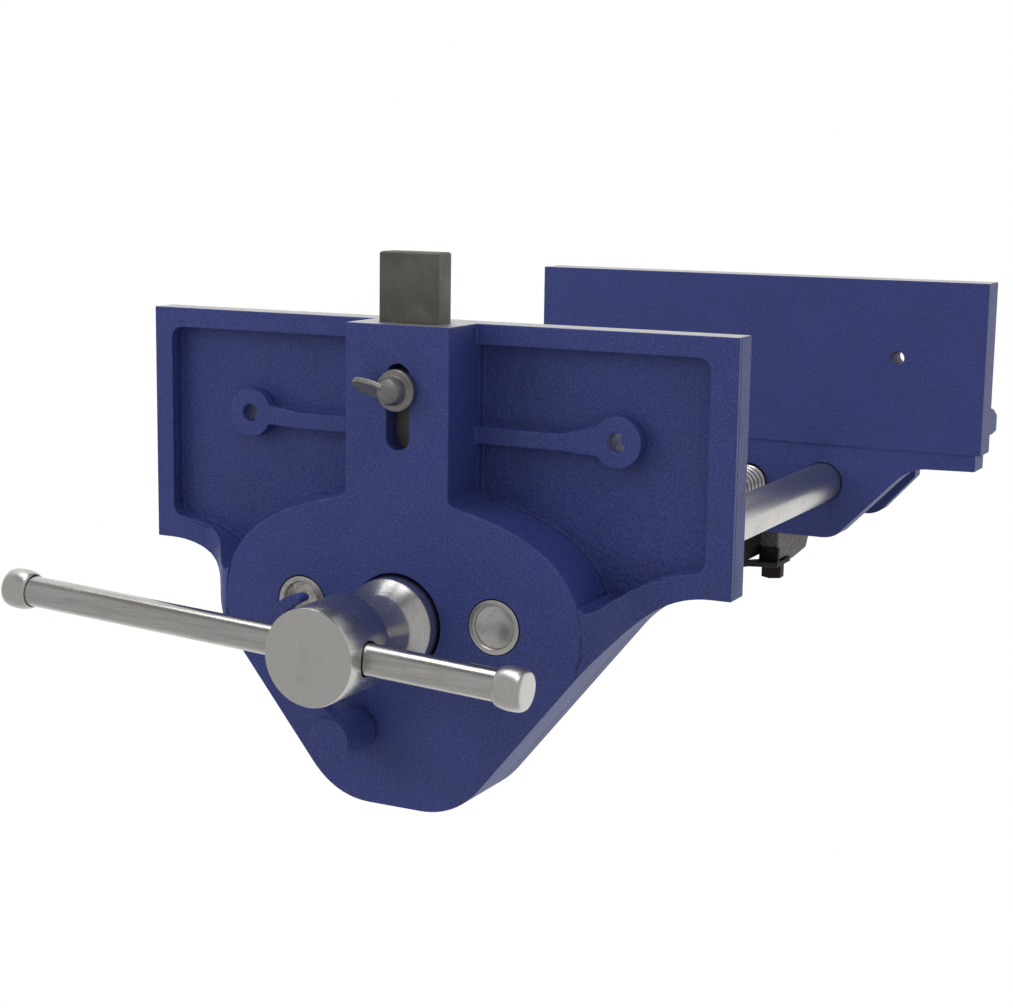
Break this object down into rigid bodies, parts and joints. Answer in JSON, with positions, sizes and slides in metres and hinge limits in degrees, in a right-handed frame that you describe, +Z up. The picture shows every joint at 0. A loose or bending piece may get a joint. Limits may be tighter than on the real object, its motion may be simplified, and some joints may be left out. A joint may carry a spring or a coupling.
{
  "type": "woodworking bench vise",
  "caption": "Quick-release woodworking vise: broad flat jaws on sliding bars, a sliding tommy-bar screw, trigger release and a rising dog, bolted under a bench top.",
  "frame": {"origin": "middle of the seat that bolts up against the underside of the bench top", "axes": "+X along the jaws to the user's right, +Y from the user into the bench along the screw, +Z up"},
  "size_m": [0.2456, 0.5446, 0.193],
  "materials": {
    "painted_casting": "satin blue enamel on cast iron",
    "bare_casting": "unpainted, lightly oiled casting",
    "turned_steel": "turned bright steel",
    "dark_steel": "handled dull steel",
    "black_steel": "oil-blacked steel",
    "spring_steel": "drawn spring steel"
  },
  "bodies": {
    "rear": {"rear_jaw_casting": "painted_casting", "nut_guide_bolt_left": "dark_steel", "nut_guide_bolt_right": "dark_steel", "nut_spring_left": "spring_steel", "nut_spring_right": "spring_steel"},
    "nut": {"half_nut": "bare_casting", "nut_follower": "black_steel", "follower_bolt": "black_steel"},
    "front": {"front_jaw_casting": "painted_casting", "guide_bar_left": "turned_steel", "guide_bar_right": "turned_steel", "bar_pin_left": "spring_steel", "bar_pin_right": "spring_steel", "tie_plate": "dark_steel", "tie_plate_bolt_left": "dark_steel", "tie_plate_bolt_right": "dark_steel"},
    "screw": {"main_screw": "turned_steel", "screw_thrust_washer": "turned_steel", "screw_collar": "dark_steel", "screw_collar_pin": "spring_steel"},
    "handle": {"handle_rod": "turned_steel", "handle_knob_left": "turned_steel", "handle_knob_right": "turned_steel"},
    "trigger": {"trigger_lever": "painted_casting", "trigger_pin": "spring_steel", "trigger_spring": "spring_steel", "release_bar": "black_steel", "release_bar_circlip": "spring_steel"},
    "dog": {"dog_bar": "dark_steel"},
    "dog_lock": {"dog_lock_screw": "dark_steel"}
  },
  "joints": [
    {"name": "jaw_slide", "type": "slide", "parent": "rear", "child": "front", "axis": [0, 1, 0], "range_m": [-0.0054, 0.3243]},
    {"name": "screw_turn", "type": "hinge", "parent": "front", "child": "screw", "pos_m": [0, -0.3999, -0.041], "axis": [0, 1, 0], "continuous": true},
    {"name": "handle_slide", "type": "slide", "parent": "screw", "child": "handle", "axis": [0.9986, 0, -0.0523], "range_m": [-0.0455, 0.1035]},
    {"name": "trigger_turn", "type": "hinge", "parent": "front", "child": "trigger", "pos_m": [-0.0145, -0.3999, -0.08], "axis": [0, 1, 0], "range_deg": [0, 12], "stiffness_Nm_per_rad": 0.6, "springref_deg": -14.32},
    {"name": "nut_drop", "type": "slide", "parent": "rear", "child": "nut", "axis": [0, 0, -1], "range_m": [0, 0.00265], "stiffness_N_per_m": 1200, "springref_m": -0.005, "deforming": ["nut_spring_left", "nut_spring_right"]},
    {"name": "dog_slide", "type": "slide", "parent": "front", "child": "dog", "axis": [0, 0, 1], "range_m": [-0.0172, 0.0055]},
    {"name": "dog_lock_turn", "type": "hinge", "parent": "dog", "child": "dog_lock", "pos_m": [0.0005, -0.4199, 0.0399], "axis": [0, 1, 0], "range_deg": [-360, 0]}
  ],
  "couplings": [
    {"joint": "trigger_turn", "follows": "nut_drop", "rad_per_m": 78.99}
  ]
}
